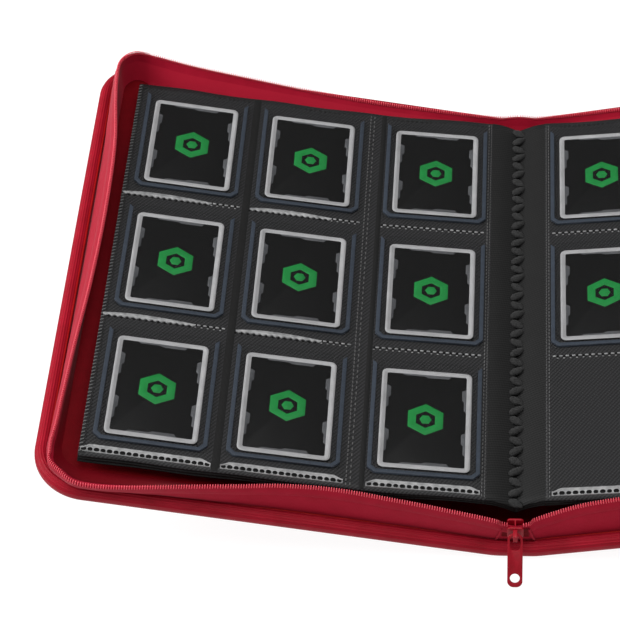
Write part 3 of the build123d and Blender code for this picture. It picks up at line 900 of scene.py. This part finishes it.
def bottom_weld(highlight_piece, dark, place, low, high, weld):
    """A creased band with a rolled upper edge, coloured bright as a painted highlight, and a row of dark
    cells pressed into it.
    """
    count = round((high - low) / WELD_PITCH)
    step = (high - low) / count
    xs = np.linspace(low, high, 4 * count + 1)
    ends = smooth(np.minimum(xs - low, high - xs), 0, 7)
    crease = 0.12 * np.sin(xs * 0.9) * np.sin(xs * 0.37 + weld)
    height = (WELD_HIGH - WELD_LOW) * (0.5 + 0.5 * ends) + crease
    points = [place(xs, weld + WELD_LOW + t * height, CLOTH_H + h) for t, h in WELD_SECTION]
    highlight_piece.grid(np.stack(points, 1)[:, ::-1])
    for i in range(count):
        wide, long = CELLS[i % 2]
        cell = rounded(low + (i + 0.5) * step, weld - CELL_DROP, wide, long, long * 0.45, 4)
        dark.pad(place, cell, CLOTH_H, CLOTH_H + 1.0, 0.4)


def row_weld(highlight_piece, dark, place, low, high, weld):
    """A wedge of painted highlight that thins inward above a finely serrated edge, then a row of short
    dashes.
    """
    count = round((high - low) / WELD_PITCH)
    step = (high - low) / count
    teeth = round(WEDGE_SHARE * count)
    xs = np.linspace(high - teeth * step, high, 6 * teeth + 1)
    share = np.clip((high - xs) / (teeth * step), 0, 1)
    saw = 1.4 * np.abs(((high - xs) / step + 0.5) % 1 * 2 - 1)
    deep = 0.6 + 2.5 * np.sin(math.pi * share ** 0.8)
    points = [place(xs, weld - saw * (1 - t) + deep * t, CLOTH_H + h) for t, h in WEDGE_SECTION]
    highlight_piece.grid(np.stack(points, 1)[:, ::-1])
    for i in range(count):
        x = high - (i + 0.5) * step
        if i < teeth:
            dot = rounded(x + step / 2, weld - 1.5, 1.8, 1.3, 0.6, 3)
            dark.pad(place, dot, CLOTH_H - 0.1, CLOTH_H + 0.5, 0.3)
        else:
            dash_row(highlight_piece, dark, place, x, weld, step)


def dash_row(highlight_piece, dark, place, x, weld, step):
    """One light dash of a weld, a painted highlight, with a small one below it and a dark dot beside it."""
    dash = rounded(x, weld + 0.6, 2.5, 1.1, 0.5, 3)
    small_dash = rounded(x + step / 2, weld - 1.4, 1.3, 0.7, 0.3, 3)
    dot = rounded(x + step / 2, weld + 0.6, 1.5, 1.4, 0.6, 3)
    highlight_piece.pad(place, dash, CLOTH_H - 0.2, CLOTH_H + 0.7, 0.3)
    highlight_piece.pad(place, small_dash, CLOTH_H - 0.2, CLOTH_H + 0.5, 0.25)
    dark.pad(place, dot, CLOTH_H - 0.1, CLOTH_H + 0.6, 0.3)


def page_welds(name, side, level, body):
    """Serrated welds across the pockets: creased film coloured bright as a painted highlight, with dark cells
    pressed into it.
    """
    place = on_leaf(side, level)
    highlight_piece = Shape(f"{name}_leaf_{level + 1}_welds", side)
    dark = Shape(f"{name}_leaf_{level + 1}_weld_cells", side)
    for column, (low, high) in COLUMNS.items():
        for row, weld in enumerate(WELDS):
            if row == len(ROWS) - 1:
                bottom_weld(highlight_piece, dark, place, low, high, weld)
            elif column != "inner":
                row_weld(highlight_piece, dark, place, low, high, weld)
            else:
                step = (high - low) / round((high - low) / WELD_PITCH)
                for x in np.arange(low + step / 2, high, step):
                    dash_row(highlight_piece, dark, place, x, weld, step)
    fix(highlight_piece.make(WELD_PAINTED_HIGHLIGHT), body)
    fix(dark.make(WELD_DARK), body)


# ---------- sleeves and cards
SLEEVE_TOP = 0.95
SLEEVE_WELD_WIDE = 2.9
SLEEVE_CUT = 5.0  # the cut across each of a sleeve's lower corners
SLEEVE_MOUTH = 1.5  # from the sleeve's top edge down to the ends of its weld
CARD_SIZE = (62.8, 88.8)
RING_OUT, RING_IN = (62.6, 88.6), (55.2, 81.2)
CARD_DROP = 1.0  # from a sleeve's middle down to its card's
FACE = 0.1  # the card's face, and the rest of its print above it
RING_RISE = ((0, 0), (0.08, 0.35), (0.5, 0.45), (0.55, 0.3), (0.9, 0.3), (1, 0))
NOTCH_RISE, EMBLEM_RISE = 0.08, 0.12
SIDE_NOTCH, END_NOTCH = (21, 3.0), (34, 2.6)  # (length, depth)
NOTCH_STARTS = (10 - RING_IN[1] / 2, RING_IN[1] / 2 - 32)  # up each side of a card
EMBLEM_RADIUS = 14.0
EMBLEM = EMBLEM_RADIUS * np.array([(math.sin(a), math.cos(a)) for a in around(6)])[::-1]


def on_column(side, column, y, across):
    """A card's own flat place, y up it and x across it: outward, or inward if across is -1."""
    middle = COLUMN_MIDDLE[column]
    place = on_leaf(side)

    def flat(x, dy, h):
        return place(middle + across * np.asarray(x, float), y + np.asarray(dy, float), h)

    return flat


def sleeve_edge(inset, cut):
    """The open outline of a sleeve's weld, from its mouth down, across and up again."""
    x, y = SLEEVE_WIDTH / 2 - inset, SLEEVE_LENGTH / 2 - inset
    top = y - SLEEVE_MOUTH
    return [(-x, top), (-x, -y + cut), (-x + cut, -y), (x - cut, -y), (x, -y + cut), (x, top)]


def build_sleeves(name, side, body):
    plate = Shape(f"{name}_sleeve_plates", side)
    weld = Shape(f"{name}_sleeve_welds", side)
    outer = sleeve_edge(0, SLEEVE_CUT)
    inner = sleeve_edge(SLEEVE_WELD_WIDE, SLEEVE_CUT - 0.6 * SLEEVE_WELD_WIDE)
    crown = SLEEVE_TOP + 0.07
    profile = ((0, CLOTH_H + 0.1), (0, SLEEVE_TOP), (0.08, crown), (0.92, crown), (1, SLEEVE_TOP), (1, 0.3))
    for column in COLUMNS:
        for y in ROWS[: FILLED[name]]:
            place = on_column(side, column, y, 1)
            plate.pad(place, rounded(0, 0, SLEEVE_WIDTH, SLEEVE_LENGTH, 3.0), CLOTH_H + 0.1, SLEEVE_TOP, 0.3)
            weld.band(place, outer, inner, profile, closed=False)
    fix(plate.make(SLEEVE), body)
    fix(weld.make(SLEEVE_WELD, turn=True), body)


def notch(length, depth):
    """A stepped notch shape against a straight edge, running up from the origin."""
    return [(0, 0), (depth * 0.55, 1.6), (depth * 0.55, length * 0.45), (depth, length * 0.52),
            (depth, length - 1.8), (0, length)]


def build_cards(name, side, body):
    base = Shape(f"{name}_card_faces")
    ring = Shape(f"{name}_card_rings")
    print_grey = Shape(f"{name}_card_notches")
    print_green = Shape(f"{name}_card_emblems")
    half_w, half_l = RING_IN[0] / 2, RING_IN[1] / 2
    ring_edge = [(t, FACE + h) for t, h in RING_RISE]
    emblem_edge = [(t, FACE + h) for t, h in ((0, 0), (0.05, EMBLEM_RISE), (0.95, EMBLEM_RISE), (1, 0))]
    for column in COLUMNS:
        for y in ROWS[: FILLED[name]]:
            place = on_column(side, column, y - CARD_DROP, side)
            base.pad(place, rounded(0, 0, *CARD_SIZE, 3.0), CLOTH_H + 0.5, FACE, 0.1)
            ring.band(place, rounded(0, 0, *RING_OUT, 4.0), rounded(0, 0, *RING_IN, 1.2), ring_edge)
            for sign in (-1, 1):
                for low in NOTCH_STARTS:
                    cut = [(sign * (half_w - dx), low + dy) for dx, dy in notch(*SIDE_NOTCH)]
                    print_grey.pad(place, cut if sign < 0 else cut[::-1], FACE, FACE + NOTCH_RISE, 0.02)
            for sign in (-1, 1):
                cut = [(dy - END_NOTCH[0] / 2, sign * (half_l - dx)) for dx, dy in notch(*END_NOTCH)]
                print_grey.pad(place, cut if sign > 0 else cut[::-1], FACE, FACE + NOTCH_RISE, 0.02)
            print_green.band(place, EMBLEM, EMBLEM * 0.54, emblem_edge)
            print_green.pad(place, turned(EMBLEM * 0.3, 0, 0, 30), FACE, FACE + EMBLEM_RISE, 0.05)
    parts = ((base, CARD), (ring, CARD_RING), (print_grey, CARD_GREY), (print_green, CARD_GREEN))
    for shape, material in parts:
        fix(face_outward(shape.make(material)), body)


# ---------- the gutter
FOLD_TOP, FOLD_STEP = 32.2, 2.4  # the height of the top leaf's fold over the spine, and down to the next
GUTTER_ROWS, GUTTER_COUNT = 22, 60


def gutter_curve(level):
    """(x, z) from a page's inner edge down into the fold over the spine."""
    z = LEAF_START_Z + CLOTH_H - LEAF_PITCH * level
    fold = (-0.3, FOLD_TOP - FOLD_STEP * level)
    ends = np.array([(LEAF_START + 0.3, z), (13.0, z - 0.8), (6.5, z - 4.5), fold])
    t = np.linspace(0, 1, GUTTER_ROWS)[:, None]
    weights = ((1 - t) ** 3, 3 * t * (1 - t) ** 2, 3 * t**2 * (1 - t), t**3)
    return sum(weight * end for weight, end in zip(weights, ends))


def build_gutter(name, side):
    for level in range(3):
        curve = gutter_curve(level)
        ys = np.linspace(LEAF_NEAR, LEAF_HALF, GUTTER_COUNT)
        wave = 0.18 * np.sin(ys / 7.0 + level) * smooth(curve[:, :1], LEAF_START, 8)
        top = np.stack(np.broadcast_arrays(side * curve[:, :1], ys, curve[:, 1:] + wave), -1)
        under = top - np.array([0, 0, CLOTH])
        sheet = np.concatenate([top, under[:, ::-1]], 1)
        # both twills here are darker than the page twill: painted shade in the fold
        material = TWILL_SHADE if level else GUTTER
        cloth = woven(f"{name}_gutter_cloth_{level + 1}", side, sheet, material, False, True)
        bend(cloth, name, (GUTTER_FIXED, LEAF_START))


TUFT_PITCH, TUFT_LENGTH = 9.0, 11.4
TUFT_WIDE, TUFT_HIGH = 3.8, 2.7  # half a tuft's width and height
TUFT_RINGS, TUFT_POINTS = 15, 12
FUZZ = 0.14  # how uneven a tuft is, as a share of its thickness


def build_lace():
    """Tufts of the thick lacing that zigzags down the gutter."""
    low, high = box_mm("binding_lace")
    shape = Shape("gutter_lacing")
    count = round((high[1] - low[1]) / TUFT_PITCH)
    rng = random.Random(7)
    for i in range(count):
        y = low[1] + (high[1] - low[1]) * (i + 0.5) / count
        tilt = rng.uniform(28, 38) * (1 if i % 2 else -1)
        z = low[2] - 0.4 + (0.6 if i % 2 else 0)
        rows = []
        for u in np.linspace(0, 1, TUFT_RINGS):
            fat = math.sin(math.pi * u ** 0.62) ** 0.62 * (0.6 + 0.4 * u)
            for v in around(TUFT_POINTS):
                fuzz = fat * (1 + FUZZ * rng.uniform(-1, 1))
                across, up = TUFT_WIDE * fuzz * math.cos(v), TUFT_HIGH * fuzz * math.sin(v)
                rows.append((TUFT_LENGTH * (u - 0.5), across, up))
        rows = np.array(rows)
        rows[:, :2] = turned(rows, 0, y, tilt)
        rows[:, 2] += z
        shape.grid(rows.reshape(TUFT_RINGS, TUFT_POINTS, 3), closed_v=True)
    fix(face_outward(join_seams(shape.make(LACE))), "spine")


# ---------- metal parts and hidden CAD pieces
SHARP = math.radians(35)  # an edge that turns more than this is rounded over


def plain_edges(work):
    """Leaves only the edges where a CAD part's surface turns."""
    bmesh.ops.remove_doubles(work, verts=work.verts, dist=1e-6)
    bmesh.ops.dissolve_limit(work, angle_limit=math.radians(1), verts=work.verts, edges=work.edges)


def rounded_copy(node, body, width):
    """A painted metal copy of a CAD part with its sharp edges rounded over by width."""
    source = frame["nodes"][node]
    copy = reworked(added(f"{node}_rounded", source.data.copy()), plain_edges)
    copy.data.materials.clear()
    copy.data.materials.append(METAL)
    bevel = copy.modifiers.new("edges", "BEVEL")
    bevel.width = width * MM
    bevel.segments = 3
    bevel.limit_method = "ANGLE"
    bevel.angle_limit = SHARP
    bpy.context.view_layer.objects.active = copy
    copy.select_set(True)
    bpy.ops.object.modifier_apply(modifier=bevel.name)
    copy.select_set(False)
    copy.data.polygons.foreach_set("use_smooth", [True] * len(copy.data.polygons))
    copy.data.set_sharp_from_angle(angle=SHARP)
    fix(copy, body)
    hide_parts(node)


for side_name, sign in SIDES.items():
    build_case(side_name, sign)
    build_gusset(side_name, sign)
    build_gutter(side_name, sign)
    for leaf_level in range(3):
        leaf_body = f"{side_name}_top_leaf" if leaf_level == 0 else f"{side_name}_lower_leaves"
        page_cloth(side_name, sign, leaf_level, leaf_body)
        if leaf_level < 2:
            page_film(side_name, sign, leaf_level, leaf_body, FILLED[side_name] if leaf_level == 0 else 0)
            page_stitches(side_name, sign, leaf_level, leaf_body)
            page_welds(side_name, sign, leaf_level, leaf_body)
        if leaf_level == 0:
            page_strips(side_name, sign, leaf_body)
    build_sleeves(side_name, sign, f"{side_name}_top_leaf")
    build_cards(side_name, sign, f"{side_name}_top_leaf")
build_lace()
build_zip_garage()
rounded_copy("slider_body", "slider", 0.35)
rounded_copy("slider_bridge", "slider", 0.5)
rounded_copy("pull_tab", "pull_tab", 0.35)

# The CAD nodes that each piece stands for: its own side's, and the spine's with the left side's.
COVER_PARTS = {
    "padded_case": ("cover_skin", "cover_board", "cover_padding", "cover_rim", "hinge_crease"),
    "case_lining": ("cover_lining",),
    "rim_piping_cord": ("rim_piping",),
    "gusset_wall": ("gusset",),
    "zip_tape_band": ("zip_tape",),
    "zip_coil_teeth": ("zip_coil",),
    "gutter_cloth_1": ("gutter_strips",),
    "sleeve_plates": [f"{column}_sleeves" for column in COLUMNS],
    "card_faces": [f"{column}_cards" for column in COLUMNS],
}
for number in (1, 2, 3):
    COVER_PARTS[f"leaf_{number}_twill"] = (f"leaf_{number}_backing", f"leaf_{number}_pockets")
SPINE_PARTS = {
    "padded_case": ("spine_skin", "spine_padding", "spine_end_rims"),
    "case_lining": ("spine_lining",),
    "gusset_wall": ("spine_gusset_near", "spine_gusset_far"),
    "zip_coil_teeth": ("spine_zip_coils", "zip_end_stop"),
}
for side_name in SIDES:
    for piece, nodes in COVER_PARTS.items():
        stands_for = [f"{side_name}_{node}" for node in nodes]
        if side_name == "left":
            stands_for += SPINE_PARTS.get(piece, ())
        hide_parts(*stands_for)
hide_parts("binding_lace", "binding_block")


# ---------- floor, light and camera
def area_light(name, place, aim, size, power):
    """A soft round white lamp, sized in metres, that points at aim."""
    light = bpy.data.lights.new(name, "AREA")
    light.shape = "DISK"
    light.size = size
    light.energy = power
    obj = added(name, light)
    obj.location = place
    obj.rotation_euler = (Vector(aim) - Vector(place)).to_track_quat("-Z", "Y").to_euler()


floor_mesh = bpy.data.meshes.new("studio_floor")
floor_mesh.from_pydata([(-6, -6, 0), (6, -6, 0), (6, 6, 0), (-6, 6, 0)], [], [(0, 1, 2, 3)])
floor = added("studio_floor", floor_mesh)
floor.location = (0, 0, -0.0004)
floor_look = Look("studio_paper", rough=0.9, specular=0.1)
floor_look.set("Base Color", (0.14, 0.14, 0.14, 1))
floor_look.set("Emission Color", (1, 1, 1, 1))
floor_look.set("Emission Strength", 0.93)
floor_mesh.materials.append(floor_look.material)

world = bpy.data.worlds.new("studio")
world.use_nodes = True
world.node_tree.nodes["Background"].inputs["Color"].default_value = (1, 1, 1, 1)
world.node_tree.nodes["Background"].inputs["Strength"].default_value = 0.36
bpy.context.scene.world = world
area_light("key_left", (-1.9, 0.0, 1.2), (-0.1, 0, 0), 1.2, 51)
area_light("overhead", (0.1, -0.1, 2.2), (0, 0, 0), 2.2, 47)
area_light("front_fill", (-0.2, -2.2, 1.5), (0, 0.1, 0.05), 1.2, 8)
bpy.context.scene.view_settings.view_transform = "Standard"

CAMERA_AT = (-0.00305, -1.18996, 1.3103)
LENS_LENGTH = 139.96
PITCH, YAW, ROLL = math.radians(46.93), math.radians(-7.06), math.radians(-4.57)
forward = Vector((math.sin(YAW) * math.cos(PITCH), math.cos(YAW) * math.cos(PITCH), -math.sin(PITCH)))
right = Vector((math.cos(YAW), -math.sin(YAW), 0))
up = right.cross(forward)
camera_right = right * math.cos(ROLL) + up * math.sin(ROLL)
camera_up = up * math.cos(ROLL) - right * math.sin(ROLL)
lens = bpy.data.cameras.new("camera")
lens.lens = LENS_LENGTH
lens.sensor_width = 36
lens.clip_end = 50
camera = added("camera", lens)
turn = Matrix((camera_right, camera_up, -forward)).transposed()
camera.matrix_world = Matrix.Translation(CAMERA_AT) @ turn.to_4x4()
bpy.context.scene.camera = camera
